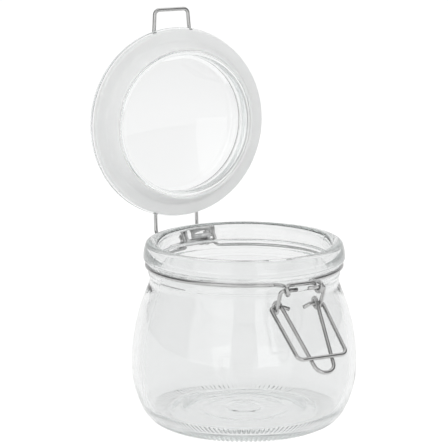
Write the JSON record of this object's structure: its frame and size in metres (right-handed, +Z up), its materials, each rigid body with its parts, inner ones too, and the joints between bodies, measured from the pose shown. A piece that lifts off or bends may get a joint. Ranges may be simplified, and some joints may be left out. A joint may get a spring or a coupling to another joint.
{
  "type": "bail clamp jar",
  "caption": "Round clear glass storage jar with a hinged domed glass lid, a wide pale seal ring and a bent-wire bail clamp; the lid stands open and the clamp hangs down.",
  "frame": {"origin": "centre of the base, on the plane of the foot ring that the jar stands on", "axes": "+Z up along the jar's axis; the closure's lever is at the front, -Y; the lid's hinge is at the back, +Y; +X is to the right of the closure seen from behind the jar"},
  "size_m": [0.112, 0.168, 0.1979],
  "materials": {
    "jar_glass": "clear pressed soda glass, thick wall",
    "lid_glass": "clear pressed soda glass",
    "seal_rubber": "translucent white, soft satin",
    "steel_wire": "drawn bright stainless wire"
  },
  "bodies": {
    "jar": {"jar_glass": "jar_glass", "neck_wire": "steel_wire"},
    "lid": {"lid_glass": "lid_glass", "gasket": "seal_rubber", "lid_wire": "steel_wire"},
    "lever": {"lever_wire": "steel_wire"},
    "bail": {"bail_wire": "steel_wire"}
  },
  "joints": [
    {"name": "lid_hinge", "type": "hinge", "parent": "jar", "child": "lid", "pos_m": [0, 0.0575, 0.0825], "axis": [1, 0, 0], "range_deg": [-130.5, 92.5]},
    {"name": "lever_pivot", "type": "hinge", "parent": "jar", "child": "lever", "pos_m": [0, -0.0579, 0.0781], "axis": [-1, 0, 0], "range_deg": [0, 170]},
    {"name": "bail_pivot", "type": "hinge", "parent": "lever", "child": "bail", "pos_m": [0, -0.0518, 0.0689], "axis": [-1, 0, 0], "range_deg": [0, 124]}
  ]
}
